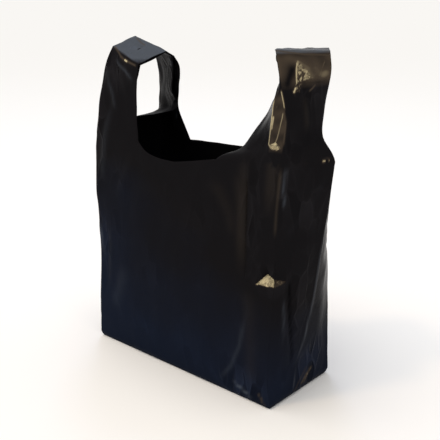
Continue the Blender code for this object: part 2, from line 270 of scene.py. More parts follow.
def shoulderRow(side, face, below):
    half = bagForm["frontWidth"] / 2
    row = []
    for flat in reversed(panelFlats[side]):
        row.append(panelPoint(face, side * (half - flat), shoulderTop(side, face, flat) - below))
    return row + [gussetPoint(side, face, flat, bagForm["shoulder"] - below) for flat in gussetFlats[side][1:]]


def heading(angle, dip):
    flat = cos(radians(dip))
    return Vector((flat * cos(radians(angle)), flat * sin(radians(angle)), -sin(radians(dip))))


def stationFold(side, station):
    inset, depth, rise = station[:3]
    return Vector((side * (bagForm["frontWidth"] / 2 - inset), depth * bagForm["baseDepth"] / 2,
                   bagForm["shoulder"] + rise * (bagForm["handleTop"] - bagForm["shoulder"])))


def plyPoints(fold, flats, across, corner, out, narrow):
    strip = bagForm["cornerStrip"] * narrow
    points = []
    for flat in flats:
        near = min(1.0, flat / bagForm["foldRadius"])
        offset = bagForm["plyGap"] / 2 * near
        reach = flat if flat <= bagForm["foldRadius"] else flat * narrow
        points.append(fold + corner * min(reach, strip) + across * max(0.0, reach - strip) + out * offset)
    return points


def stationRow(side, station, run):
    panelAngle, panelDip, cornerTurn, gussetAngle, gussetDip, panelTaper, gussetTaper = station[3:10]
    fold = stationFold(side, station)
    across = heading(panelAngle, panelDip)
    corner = heading(panelAngle + cornerTurn, panelDip)
    out = across.cross(run).normalized() * -side
    narrow = 1 + (bagForm["handlePly"] / bagForm["shoulderPly"] - 1) * panelTaper
    row = plyPoints(fold, panelFlats[side], across, corner, out, narrow)
    row.reverse()
    across = heading(gussetAngle, gussetDip)
    out = across.cross(run).normalized() * side
    narrow = 1 + (bagForm["handlePly"] / bagForm["gussetPly"] - 1) * gussetTaper
    return row + plyPoints(fold, gussetFlats[side], across, across, out, narrow)[1:]


def handleStrap(side):
    stations = handleForm[side]
    top = bagForm["shoulder"]
    folds = [outerFold(side, -1, top)] + [stationFold(side, s) for s in stations] + [outerFold(side, 1, top)]
    rows = [shoulderRow(side, -1, 0.0)]
    for k, station in enumerate(stations, start=1):
        before = (folds[k] - folds[k - 1]).normalized()
        after = (folds[k + 1] - folds[k]).normalized()
        rows.append(stationRow(side, station, (before + after).normalized()))
    rows.append(shoulderRow(side, 1, 0.0))
    leadIn = shoulderRow(side, -1, bagForm["leadIn"])
    leadOut = shoulderRow(side, 1, bagForm["leadIn"])
    creased = [False] + [station[-1] for station in stations] + [False]
    # as many mesh rows between two stations as their distance needs
    spots = [(0, 0.0)]
    for k in range(len(rows) - 1):
        count = max(2, round((folds[k + 1] - folds[k]).length / bagForm["rowStep"]))
        spots += [(k, (n + 1) / count) for n in range(count)]

    def place(i, j):
        k, f = spots[j]
        p1, p2 = rows[k][i], rows[k + 1][i]
        p0 = rows[k - 1][i] if k else leadIn[i]
        p3 = rows[k + 2][i] if k + 2 < len(rows) else leadOut[i]
        if creased[k]:
            p0 = 2 * p1 - p2
        if creased[k + 1]:
            p3 = 2 * p2 - p1
        return 0.5 * (2 * p1 + (p2 - p0) * f + (2 * p0 - 5 * p1 + 4 * p2 - p3) * f * f
                      + (3 * p1 - p0 - 3 * p2 + p3) * f ** 3)

    panelMark, gussetMark = (5, 6) if side > 0 else (7, 8)
    marks = [panelMark] * len(panelFlats[side]) + [gussetMark] * (len(gussetFlats[side]) - 1)
    flats = panelFlats[side][::-1] + gussetFlats[side][1:]
    return gridOf(len(rows[0]) - 1, len(spots) - 1, place, marks, flats)


def closeBase(film):
    ring = [edge for edge in film.edges if edge.is_boundary and max(v.co.z for v in edge.verts) < 1e-6]
    base = bmesh.ops.contextual_create(film, geom=ring)["faces"]
    bmesh.ops.inset_region(film, faces=base, thickness=bagForm["baseInset"])


def joinMeshes(pieces):
    joined = bmesh.new()
    joined.verts.layers.float.new("ply")
    joined.verts.layers.float.new("fromFold")
    for piece in pieces:
        mesh = bpy.data.meshes.new("filmPiece")
        piece.to_mesh(mesh)
        piece.free()
        joined.from_mesh(mesh)
        bpy.data.meshes.remove(mesh)
    bmesh.ops.remove_doubles(joined, verts=joined.verts, dist=bagForm["together"])
    return joined


film = joinMeshes([bagWall(), handleStrap(-1), handleStrap(1)])
closeBase(film)
bmesh.ops.recalc_face_normals(film, faces=film.faces)
bmesh.ops.translate(film, verts=film.verts, vec=(0, 0, bagForm["solidFilm"] / 2))

# Where the film is crumpled its mesh is finer: boxes in millimetres, on the marked parts of the film
fineForm = [
    {"name": "corner strip", "on": (5,), "low": (118, -64, 282), "high": (152, -34, 352), "cuts": 2},
    {"name": "right strap's top", "on": (6,), "low": (118, -50, 338), "high": (168, 14, 388), "cuts": 3},
    {"name": "buckle", "on": (1, 3), "low": (110, -66, 132), "high": (160, -34, 172), "cuts": 3},
    {"name": "left strap's crest", "on": (7,), "low": (-116, -62, 344), "high": (-48, 6, 388), "cuts": 2},
    {"name": "ear", "on": (3, 6), "low": (156, -24, 262), "high": (180, 8, 290), "cuts": 1},
    {"name": "pleat", "on": (1,), "low": (97, -66, 138), "high": (112, -50, 268), "cuts": 2},
]


def refineFilm(film):
    ply = film.verts.layers.float["ply"]
    for area in fineForm:
        chosen = []
        for face in film.faces:
            places = [vert.co * 1000 for vert in face.verts]
            within = all(area["low"][n] <= place[n] <= area["high"][n] for place in places for n in range(3))
            if within and all(round(vert[ply]) in area["on"] for vert in face.verts):
                chosen.append(face)
        edges = list({edge for face in chosen for edge in face.edges})
        bmesh.ops.subdivide_edges(film, edges=edges, cuts=area["cuts"], use_grid_fill=True)
        inner = [vert for vert in film.verts
                 if all(area["low"][n] <= vert.co[n] * 1000 <= area["high"][n] for n in range(3))
                 and round(vert[ply]) in area["on"] and not vert.is_boundary
                 and all(len(face.verts) == 4 for face in vert.link_faces)]
        bmesh.ops.smooth_vert(film, verts=inner, factor=0.5, use_axis_x=True, use_axis_y=True, use_axis_z=True)


refineFilm(film)
for face in film.faces:
    face.smooth = True


# Creases pressed into the film: millimetres, on the marked parts of the film. Each is a sharp ridge that
# stands out, if it names no other shape. A soft one is rounded, either goes in with a negative lift, and a
# lap falls towards its line and steps back up behind it, on the side that towards points to. The keys after
# fade say how far the line is painted brown, partly as stretched film and partly as a painted warm sheen,
# paling to a painted glint where it is highest, and how far it gets a painted bluish sheen, both over a
# streak width, and how dark a painted shade lies along a lap, over its own width.
creaseForm = [
    {"name": "front pleat", "on": (1,), "shape": "lap", "towards": (1, 0, 0), "width": 15, "lift": 3.4,
     "line": [(103.9, -57, 261), (104.8, -57, 242), (105, -57, 200), (105, -57, 157), (106, -58, 140)],
     "fade": 22, "lapShade": 1.2, "lapShadeWidth": 2.2},
    {"name": "pleat's left edge", "on": (1,), "shape": "soft", "width": 3.5, "lift": 0.7,
     "line": [(93.7, -57.7, 267), (96.6, -57.7, 241.2), (98.3, -57.8, 214.8), (98.9, -58.1, 187.6),
              (100.3, -57.9, 163.4)], "fade": 25, "stretchAndGlint": 0.05, "streakWidth": 6},
    {"name": "panel's long fold", "on": (1,), "shape": "soft", "width": 7, "lift": 1.6,
     "line": [(-56, -59, 262), (-68.1, -59.4, 238.3), (-79.8, -59.3, 217.1), (-98, -59, 188)], "fade": 30},
    {"name": "left fold's dent", "on": (1,), "width": 2.6, "lift": 1.2,
     "line": [(-131, -56.3, 162), (-130.1, -56.3, 148.1), (-126.7, -56.7, 134.4), (-125, -57, 112)],
     "fade": 12, "sheen": 0.30, "streakWidth": 1.4},
    {"name": "left fold's lower dent", "on": (1,), "shape": "soft", "width": 7, "lift": -1.8,
     "line": [(-122, -57, 168), (-118, -57, 132), (-121, -57, 92), (-128, -57, 60)], "fade": 30},
    {"name": "panel's low fold", "on": (1,), "shape": "soft", "width": 6, "lift": 1.5,
     "line": [(64, -58, 8), (86, -58, 36), (99, -58, 66), (106, -58, 104)], "fade": 26, "sheen": 0.10,
     "streakWidth": 2.4},
    {"name": "pleat's end", "on": (1,), "width": 5, "lift": 0.8,
     "line": [(108, -59, 138), (111, -59, 110), (112.5, -58, 70), (114, -57, 18)], "fade": 20,
     "stretchAndGlint": 0.03, "streakWidth": 8},
    {"name": "side lap", "on": (3,), "shape": "lap", "towards": (0, 1, 0), "width": 9, "lift": 1.6,
     "line": [(149.1, -40.6, 156), (146.2, -32.4, 101.7), (142.9, -21.6, 62), (141, -16, 30)],
     "fade": 20, "lapShade": 0.8, "lapShadeWidth": 1.6},
    {"name": "gusset ridge", "on": (3,), "width": 1.6, "lift": 0.9,
     "line": [(139.7, -15.1, 4), (143.4, -4.2, 60.5), (149.9, -0.6, 101.1), (156.8, 0.5, 151.5),
              (161.5, 0, 196)], "fade": 14, "sheen": 0.30, "stretchAndGlint": 0.05, "streakWidth": 1.2},
    {"name": "ear crease", "on": (3, 6), "width": 2.0, "lift": 1.3,
     "line": [(165.9, -17.7, 273.7), (169, -7.9, 275), (171.7, -1.1, 274.2)], "fade": 4,
     "stretchAndGlint": 0.75, "streakWidth": 1.2},
    {"name": "base corner", "on": (1,), "width": 2.0, "lift": 0.8,
     "line": [(122.4, -56.7, 16.6), (127.9, -56.6, 10.1), (132.9, -53.8, 0.8)], "fade": 5,
     "stretchAndGlint": 0.30, "streakWidth": 1.3},
    {"name": "base fold", "on": (1,), "width": 3.0, "lift": 0.8,
     "line": [(86.5, -56.7, 18), (98, -56.5, 13.4), (106.5, -56.3, 10.3), (116.3, -55.9, 5.2)], "fade": 8,
     "sheen": 0.40, "streakWidth": 1.6},
    {"name": "gusset foot", "on": (3,), "width": 2.2, "lift": 1.0,
     "line": [(140.3, 12.1, 27), (139.7, -15.1, 3)], "fade": 5, "stretchAndGlint": 0.14, "streakWidth": 1.4},
    {"name": "foot streak one", "on": (3,), "width": 1.6, "lift": 1.0,
     "line": [(140.1, -0.4, 7.5), (140.3, 10.6, 17), (140.3, 22.3, 22.5)], "fade": 5,
     "stretchAndGlint": 0.5, "streakWidth": 1.5},
    {"name": "foot streak two", "on": (3,), "width": 1.4, "lift": 0.7,
     "line": [(140.3, 6, 6), (140.3, 15, 20)], "fade": 5, "stretchAndGlint": 0.35, "streakWidth": 1.5},
    {"name": "front right fold", "on": (1, 3), "width": 1.8, "lift": 0.5,
     "line": [(143.7, -52.1, 274), (143.3, -52.7, 263.8), (142.7, -53.3, 252), (141.5, -55, 225),
              (140.6, -56, 196)], "fade": 14, "stretchAndGlint": 0.16, "streakWidth": 1.6},
    {"name": "line beside the fold", "on": (3,), "width": 2.2, "lift": 0.8,
     "line": [(146.8, -48.1, 274), (146.4, -48.7, 263.6), (145.2, -49.7, 248.3), (145.5, -47, 226)],
     "fade": 10, "sheen": 0.26, "streakWidth": 1.2},
    {"name": "gusset's long fold", "on": (3,), "shape": "soft", "width": 4.5, "lift": 1.6,
     "line": [(150.5, -34, 262), (155, -24, 232), (156, -16, 204), (154, -12, 176)], "fade": 22, "sheen": 0.10,
     "streakWidth": 2.2},
    {"name": "gusset's slanting fold", "on": (3,), "shape": "soft", "width": 4, "lift": -1.6,
     "line": [(144, -46, 196), (150, -32, 214), (160, -14, 240), (167, -6, 262)], "fade": 20, "sheen": 0.06,
     "streakWidth": 3},
    {"name": "behind the lap", "on": (3,), "width": 1.8, "lift": 0.6,
     "line": [(145.2, -44, 132), (144, -40, 92), (142, -36, 52), (140.5, -32, 14)], "fade": 16,
     "sheen": 0.16, "streakWidth": 1.6},
    {"name": "panel under the mouth", "on": (1,), "shape": "soft", "width": 6, "lift": 1.2,
     "line": [(52, -60, 246), (70, -60, 236), (84, -60, 214), (92, -60, 184)], "fade": 22, "stretchAndGlint": 0.03,
     "streakWidth": 7},
    {"name": "panel's left shoulder", "on": (1, 7), "shape": "soft", "width": 6, "lift": 1.4,
     "line": [(-104, -55, 312), (-112, -57, 280), (-119, -58, 244), (-121, -58, 208)], "fade": 24,
     "sheen": 0.07, "streakWidth": 5},
    {"name": "panel's left middle", "on": (1,), "shape": "soft", "width": 8, "lift": 1.3,
     "line": [(-78, -60, 118), (-92, -60, 84), (-112, -60, 44)], "fade": 26, "sheen": 0.05, "streakWidth": 9},
    {"name": "left strap's front", "on": (7,), "shape": "soft", "width": 4, "lift": 1.3,
     "line": [(-104, -46, 361), (-90, -48, 353), (-78.8, -49, 346.8), (-65, -50.6, 337)], "fade": 10,
     "sheen": 0.16, "streakWidth": 2.0},
    {"name": "left strap's side", "on": (7,), "shape": "soft", "width": 4, "lift": 1.4,
     "line": [(-118, -43, 350), (-112, -46, 332), (-103, -50, 318), (-96, -52, 300)], "fade": 12,
     "sheen": 0.10, "streakWidth": 2.4},
    {"name": "back strap's fold", "on": (7, 8), "width": 3, "lift": 1.2,
     "line": [(-64.6, 4.3, 362.7), (-62.4, 7.3, 354.8), (-73.6, 22.1, 345.1), (-74.6, 24.7, 333.7),
              (-77.1, 27.9, 312.6), (-81.5, 32, 293.2), (-88.3, 37.6, 279.2)], "fade": 6,
     "sheen": 0.30, "streakWidth": 1.4},
    {"name": "stripe down the right strap", "on": (6,), "shape": "soft", "width": 5, "lift": 1.2,
     "line": [(145, -21, 340), (146.1, -20, 330.9), (147.2, -19.4, 322.1), (147.9, -18, 312),
              (148, -16, 300)], "fade": 12, "stretchAndGlint": 0.05, "streakWidth": 3.2},
    # the twisted strap's corner strip, rimmed by its two folds
    {"name": "strip's inner rim", "on": (5,), "width": 2.0, "lift": 0.9,
     "line": [(137.6, -53.4, 286.9), (133.4, -55, 289.6), (131.0, -56.0, 293.5), (131.8, -56.2, 298.3),
              (132.7, -56.4, 303.6), (133.3, -56.1, 309.2), (133.2, -54.6, 315.3), (131.6, -51.3, 322.3),
              (129.1, -46.5, 330.0), (128.6, -43.2, 337.5), (133.0, -43.2, 345.5)], "fade": 4,
     "stretchAndGlint": 0.90, "streakWidth": 0.8},
    {"name": "rim's wide part", "on": (5,), "width": 2.0, "lift": 0.3,
     "line": [(133.7, -56, 305), (134.4, -55.6, 311), (134.2, -53.9, 317), (132.9, -50.7, 323)], "fade": 5,
     "stretchAndGlint": 0.85, "streakWidth": 1.1},
    {"name": "strip's outer fold", "on": (5, 6), "width": 1.6, "lift": 0.5,
     "line": [(142.9, -47.3, 326.1), (140.9, -46.2, 332.4), (138.2, -45.1, 339.6), (135.4, -44.2, 346.5)],
     "fade": 4, "stretchAndGlint": 0.72, "streakWidth": 0.6},
    {"name": "outer fold's glint", "on": (5, 6), "width": 1.6, "lift": 0.2,
     "line": [(144.1, -50.0, 290.5), (144.6, -49.3, 299.8), (145.2, -49, 307), (145.5, -48.6, 314),
              (144.4, -47.9, 321)], "fade": 6, "stretchAndGlint": 0.40, "streakWidth": 1.0},
    {"name": "line down the strip", "on": (5,), "width": 2.4, "lift": 0.8,
     "line": [(141.7, -47.7, 326), (142, -49.6, 319.5), (141.4, -51, 313.8), (140.5, -52.1, 307),
              (139, -52.7, 300.1), (137.4, -53.3, 295.5), (136.6, -53.7, 292)], "fade": 3,
     "stretchAndGlint": 0.60, "streakWidth": 0.8},
    {"name": "mark in the strip", "on": (5,), "width": 1.2, "lift": 0.4,
     "line": [(132.5, -48.5, 325.5), (135.0, -46.5, 331.5)], "fade": 3, "stretchAndGlint": 0.4, "streakWidth": 0.8},
    # the right strap's weld and the creases under it
    {"name": "weld", "on": (6,), "width": 1.4, "lift": 0.6,
     "line": [(124, -45, 381.9), (131.3, -36.7, 380.7), (139.6, -25.2, 378.6), (144.4, -18.6, 377.5),
              (150.2, -10.1, 377.2), (160, 4, 376.2)], "fade": 2, "stretchAndGlint": 0.42, "streakWidth": 1.0},
    {"name": "dark fold", "on": (6,), "shape": "soft", "width": 5.0, "lift": -3.0,
     "line": [(139.9, -27.5, 372), (139.2, -31.5, 360), (139.0, -36, 350), (139.4, -40, 343)], "fade": 9},
    {"name": "bright edge", "on": (6,), "width": 1.5, "lift": 1.3,
     "line": [(140.2, -26.2, 373.5), (140.9, -26.6, 366.9), (141.2, -27.2, 359.4), (141.4, -27.5, 351.7),
              (141.8, -28.0, 346.4)], "fade": 5, "stretchAndGlint": 0.9, "streakWidth": 0.9},
    {"name": "bright spot", "on": (6,), "width": 1.6, "lift": 0.8,
     "line": [(142.0, -27.6, 347.6), (141.6, -30.5, 343.2), (141.2, -33.4, 341)], "fade": 2,
     "stretchAndGlint": 1.0, "streakWidth": 1.3},
    {"name": "strap line one", "on": (6,), "width": 1.6, "lift": 0.7,
     "line": [(156.7, -0.5, 373.6), (155.1, -2.7, 367), (153, -3.5, 360.1), (150.2, -3.3, 353.1)],
     "fade": 4, "stretchAndGlint": 0.45, "streakWidth": 1.0},
    {"name": "strap line two", "on": (6,), "width": 1.4, "lift": 0.6,
     "line": [(143.9, -20.9, 370.5), (147, -16.4, 363.6), (148.5, -9.6, 355.5)], "fade": 4,
     "stretchAndGlint": 0.45, "streakWidth": 1.0},
    {"name": "strap line across", "on": (6,), "shape": "lap", "towards": (0, 0, -1), "width": 7,
     "lift": 1.3, "line": [(143.5, -21, 351.4), (148.2, -7.1, 350.3), (151.3, 2.4, 350.2), (153, 9, 350.5)],
     "fade": 5, "stretchAndGlint": 0.18, "streakWidth": 2.0},
    {"name": "strap line low", "on": (6,), "width": 1.4, "lift": 0.5,
     "line": [(146.1, -13.7, 341), (147.2, -8.7, 344.5), (148.6, -4, 349)], "fade": 3,
     "stretchAndGlint": 0.40, "streakWidth": 0.9},
    # the left strap's crest and its weld
    {"name": "crest", "on": (7,), "width": 2.2, "lift": 0.9,
     "line": [(-108.8, -39.5, 373.2), (-97.6, -43.7, 367.7), (-91.2, -45.4, 363.6), (-85.4, -46.6, 360.6),
              (-80.8, -47.4, 359), (-73.7, -48.5, 357.7), (-61, -50.5, 355)], "fade": 2,
     "stretchAndGlint": 0.40, "streakWidth": 1.2},
    {"name": "crest's glint", "on": (7,), "width": 2.0, "lift": 0.6,
     "line": [(-83.8, -46.9, 360.3), (-80.8, -47.4, 359), (-77.0, -48.0, 358.2)], "fade": 1.5,
     "stretchAndGlint": 1.0, "streakWidth": 1.4},
    {"name": "left weld", "on": (7,), "width": 1.6, "lift": 0.7,
     "line": [(-104.8, -9.5, 381.2), (-96.5, -12.6, 378.3), (-89, -14.9, 375.8), (-81, -16.1, 373.6)],
     "fade": 3, "stretchAndGlint": 0.30, "streakWidth": 1.1},
    {"name": "left weld's fall", "on": (7,), "shape": "lap", "towards": (1, 0, 0), "width": 10,
     "lift": 1.5, "line": [(-84.1, -16.1, 374.3), (-83, -30.2, 369.8), (-80.4, -44, 365)], "fade": 5},
]

# Crumpled patches, where the film has buckled into small facets: corners in millimetres, facet is their
# size, lift how steep they are, and the least and most painted brown sheen and glint on the facets, each
# facet its own, brightest as a painted glint along their crests
patchForm = [
    {"name": "strap's gold corner", "on": (6,), "facet": 2.6, "lift": 0.5, "stretchAndGlint": (0.34, 0.84), "edge": 1.2,
     "corners": [(140.6, -26.4, 373.5), (148.8, -7.5, 353.2), (141.6, -27.2, 350.4)]},
    {"name": "strap's low crumple", "on": (6,), "facet": 3.0, "lift": 0.4, "stretchAndGlint": (0.12, 0.7), "edge": 1.2,
     "corners": [(141.8, -28.4, 350.5), (144.4, -20.5, 350.5), (143.6, -24, 341.5), (141.2, -33.4, 341.2)]},
    {"name": "end of the corner strip", "on": (5,), "facet": 2.8, "lift": 0.5, "stretchAndGlint": (0.45, 1.0),
     "edge": 0.9, "corners": [(132.2, -55.6, 293.2), (137.4, -53.3, 296), (143.6, -50.6, 289.8),
                              (138.4, -53, 286.6), (134, -54.8, 288.6)]},
]

# Bands by mark, painted brown (partly stretched film, partly a painted warm sheen) or with a painted bluish
# sheen: side of the bag, flat distance from the outer fold with how soft its two edges are, height with the
# same, and how much brown or sheen is painted. upwards limits it to film that faces up, where the light
# falls, and uneven is the size of the clouds that it comes in.
bandForm = [
    {"name": "corner strip", "on": (5,), "side": 1, "flat": (0, 15), "soft": 1, "height": (288, 340),
     "fade": 7, "stretchAndGlint": 0.25, "uneven": 9},
    {"name": "right strap's top", "on": (6,), "side": 1, "flat": (-9, 90), "soft": 8, "height": (349, 379),
     "fade": 9, "stretchAndGlint": 0.34, "uneven": 13},
    {"name": "film beside the pleat", "on": (1,), "side": 1, "flat": (37, 48), "soft": 7,
     "height": (165, 262), "fade": 36, "stretchAndGlint": 0.07},
    {"name": "film under the strip", "on": (1,), "side": 1, "flat": (2, 14), "soft": 6,
     "height": (232, 292), "fade": 30, "stretchAndGlint": 0.06},
    {"name": "left strap's top", "on": (7,), "side": -1, "flat": (-9, 90), "soft": 8, "height": (360, 390),
     "fade": 4, "sheen": 0.52, "upwards": 0.6},
    {"name": "above the right weld", "on": (6,), "side": 1, "flat": (-9, 90), "soft": 8,
     "height": (379, 390), "fade": 2, "sheen": 0.7},
]

# The buckle in the front right fold: the film above it is tucked in, and leaves a small shelf of two
# facets with painted glints. Height in millimetres against distance from the fold, which is negative on the
# front panel.
buckleForm = {
    "upper": [(-23.5, 142.8), (-9, 155.4), (0, 151.6), (16, 149.2)],
    "lower": [(-23.5, 142.8), (0, 144.4), (8, 146.2), (16, 149.2)],
    "depth": 8.0, "tallest": 14, "way": (-0.6, 0.8, 0), "relax": 24, "frontGlint": (0.62, 1.0),
    "sideGlint": (0.25, 0.55), "facet": 3.6, "lift": 0.35,
}


# Loose folds all over the film, longer upwards than across, and where the film is crumpled most: centres
# and reaches in millimetres
looseForm = {
    "across": 17, "upward": 62, "lift": 1.1, "sharp": 0.7, "line": 0.05, "swell": 48, "swellLift": 0.9,
    "bend": 4 / 3, "crestFrom": 0.15, "straps": 1.0, "gussets": 0.8, "panels": 0.55, "fade": 9,
    "crumpledFade": 1.4,
}
crumpledForm = [
    {"name": "right strap's foot", "on": (1, 3, 5, 6), "centre": (138, -42, 262), "reach": (26, 26, 52),
     "share": 0.9},
    {"name": "beside the pleat", "on": (1,), "centre": (108, -57, 215), "reach": (20, 12, 60), "share": 0.8},
    {"name": "under the ear", "on": (3,), "centre": (158, -20, 232), "reach": (24, 26, 44), "share": 0.7},
    {"name": "right strap", "on": (6,), "centre": (148, -10, 350), "reach": (34, 34, 30), "share": 0.8},
    {"name": "left strap's crest", "on": (7,), "centre": (-100, -46, 352), "reach": (34, 14, 36), "share": 0.7},
    {"name": "left edge", "on": (1, 7), "centre": (-128, -55, 262), "reach": (20, 14, 72), "share": 0.8},
    {"name": "left strap's back", "on": (7, 8), "centre": (-70, 20, 330), "reach": (26, 22, 60), "share": 0.8},
    {"name": "left fold's dent", "on": (1,), "centre": (-126, -56, 130), "reach": (15, 12, 48), "share": 0.8},
    {"name": "around the buckle", "on": (1, 3), "centre": (138, -50, 150), "reach": (40, 40, 22), "share": 0.7},
    {"name": "gusset's foot", "on": (3,), "centre": (140, 12, 24), "reach": (20, 34, 38), "share": 1.0},
    {"name": "panel's foot", "on": (1,), "centre": (102, -57, 16), "reach": (42, 12, 26), "share": 0.8},
    {"name": "gusset's lap", "on": (3,), "centre": (150, -22, 120), "reach": (20, 22, 90), "share": 0.6},
    {"name": "back panel's edges", "on": (2,), "centre": (120, 58, 190), "reach": (30, 14, 90), "share": 0.6},
    {"name": "back strap", "on": (5, 6), "centre": (140, 40, 310), "reach": (34, 30, 60), "share": 0.7},
]
# How facets, bands and laps are pressed: how wide and how bright a facet's painted glint along its crest is,
# how far apart its painted light and shade tones are drawn, how far a patch reaches through the film, a lap's
# step, and how bands fade
pressForm = {
    "crest": 0.10, "crestShade": 0.9, "shadeStep": 9.7, "through": 12, "lapStep": 1.0,
    "upwardsSoft": 0.15, "cloudShare": 0.8,
}


def looseFolds(places, marks):
    # how far the loose folds lift the film, none at the base or at a free edge, and where it is crumpled
    lift = np.zeros(len(places))
    weight = np.select([marks >= 5, marks >= 3], [looseForm["straps"], looseForm["gussets"]],
                       looseForm["panels"])
    weight = weight * np.clip(places[:, 2] / looseForm["fade"], 0, 1)
    scale = np.array([looseForm["across"], looseForm["across"], looseForm["upward"]], float)
    for k in np.nonzero(weight > 0)[0]:
        swell = noise.noise(Vector(places[k] / looseForm["swell"]))
        fold = noise.noise(Vector(places[k] / scale + looseForm["bend"] * swell))
        crest = np.exp(-abs(fold) / looseForm["line"]) * max(0.0, swell + looseForm["crestFrom"])
        lift[k] = looseForm["swellLift"] * swell + looseForm["lift"] * fold + looseForm["sharp"] * crest
    crumpled = np.zeros(len(places))
    for area in crumpledForm:
        offset = (places - np.array(area["centre"], float)) / np.array(area["reach"], float)
        share = np.clip(looseForm["crumpledFade"] * (1 - np.linalg.norm(offset, axis=1)), 0, 1)
        share = share * np.isin(marks, area["on"])
        crumpled = np.maximum(crumpled, area["share"] * share)
    return lift * weight, crumpled


def nearestOnLine(places, line):
    # distance from each place to the line, how far along the line that is, and the way to the place
    best = np.full(len(places), 1e9)
    run = np.zeros(len(places))
    away = np.zeros_like(places)
    start = 0.0
    for a, b in zip(line[:-1], line[1:]):
        length = float(np.linalg.norm(b - a))
        t = np.clip((places - a) @ (b - a) / length ** 2, 0, 1)
        offset = places - (a + t[:, None] * (b - a))
        distance = np.linalg.norm(offset, axis=1)
        closer = distance < best
        best[closer] = distance[closer]
        run[closer] = start + t[closer] * length
        away[closer] = offset[closer]
        start += length
    return best, run, away, start


def facetNoise(places, chosen, size):
    # flat-sided small peaks, and for each a number of its own, highest along their crests, which paints light
    # and shade on the facets and glints on their crests
    peaks = np.zeros(len(places))
    shades = np.zeros(len(places))
    for k in np.nonzero(chosen)[0]:
        distances, cells = noise.voronoi(Vector(places[k] / size), distance_metric="MANHATTAN")
        peaks[k] = distances[0]
        crest = np.exp(-((distances[1] - distances[0]) / pressForm["crest"]) ** 2)
        shades[k] = max(noise.cell(cells[0] * pressForm["shadeStep"]), pressForm["crestShade"] * crest)
    return peaks, shades


def insidePatch(places, corners):
    # how far inside the patch's outline each place is, in the patch's own plane
    corners = np.array(corners, float)
    middle = corners.mean(axis=0)
    across = (corners[1] - corners[0]) / np.linalg.norm(corners[1] - corners[0])
    facing = np.cross(across, corners[2] - corners[0])
    facing = facing / np.linalg.norm(facing)
    upward = np.cross(facing, across)
    spots = np.stack([(places - middle) @ across, (places - middle) @ upward], axis=1)
    outline = np.stack([(corners - middle) @ across, (corners - middle) @ upward], axis=1)
    nearest = np.full(len(places), 1e9)
    inside = np.zeros(len(places), bool)
    for a, b in zip(outline, np.roll(outline, -1, axis=0)):
        t = np.clip((spots - a) @ (b - a) / ((b - a) @ (b - a)), 0, 1)
        nearest = np.minimum(nearest, np.linalg.norm(spots - (a + t[:, None] * (b - a)), axis=1))
        crosses = (a[1] > spots[:, 1]) != (b[1] > spots[:, 1])
        rise = (b[1] - a[1]) if b[1] != a[1] else 1e-9
        inside ^= crosses & (spots[:, 0] < a[0] + (spots[:, 1] - a[1]) * (b[0] - a[0]) / rise)
    close = np.abs((places - middle) @ facing) < pressForm["through"]
    return np.where(inside & close, nearest, 0.0)


